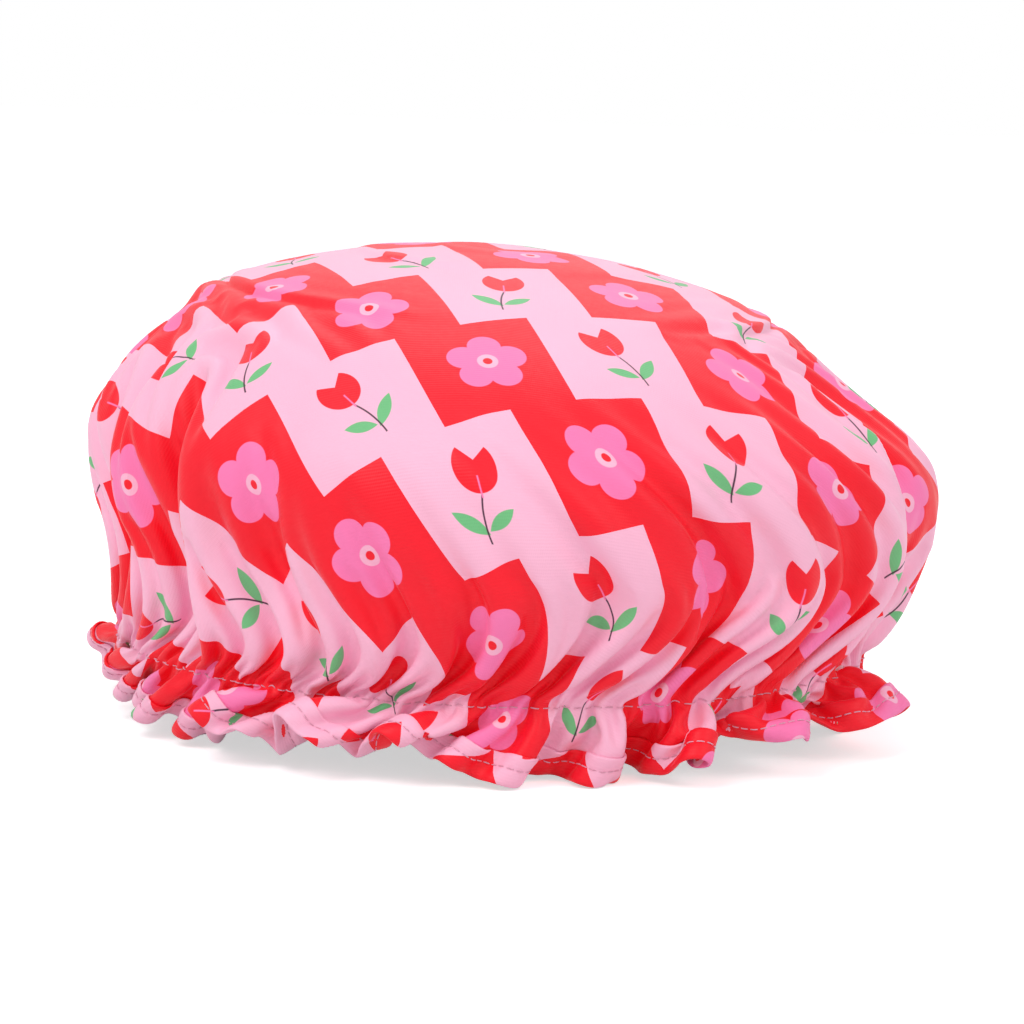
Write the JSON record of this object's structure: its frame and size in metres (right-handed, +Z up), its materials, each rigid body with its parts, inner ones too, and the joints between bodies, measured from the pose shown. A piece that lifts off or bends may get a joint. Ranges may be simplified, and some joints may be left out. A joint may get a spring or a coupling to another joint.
{
  "type": "shower cap",
  "caption": "Round gathered shower cap of printed cloth with a waterproof lining, a hidden elastic, a ruffle and a bound edge, standing on its ruffle.",
  "frame": {"origin": "on the ground, under the middle of the cap's box", "axes": "+Z up from the ruffle to the crown, -Y towards the viewer of the picture, +X to the viewer's right"},
  "size_m": [0.291, 0.284, 0.1544],
  "materials": {
    "printed_cloth": "fine ribbed weave with a satin sheen, printed in blocks of red and pale pink",
    "waterproof_film": "thin soft film, slightly cloudy",
    "woven_elastic": "narrow braided elastic",
    "sewing_thread": "pale pink polyester thread"
  },
  "bodies": {
    "root": {"outer_shell": "printed_cloth", "waterproof_lining": "waterproof_film", "edge_binding": "printed_cloth", "elastic_band": "woven_elastic", "elastic_join_stitch": "sewing_thread", "gathering_stitch_outer": "sewing_thread", "gathering_stitch_inner": "sewing_thread", "binding_stitch_outer": "sewing_thread", "binding_stitch_inner": "sewing_thread"}
  },
  "joints": []
}
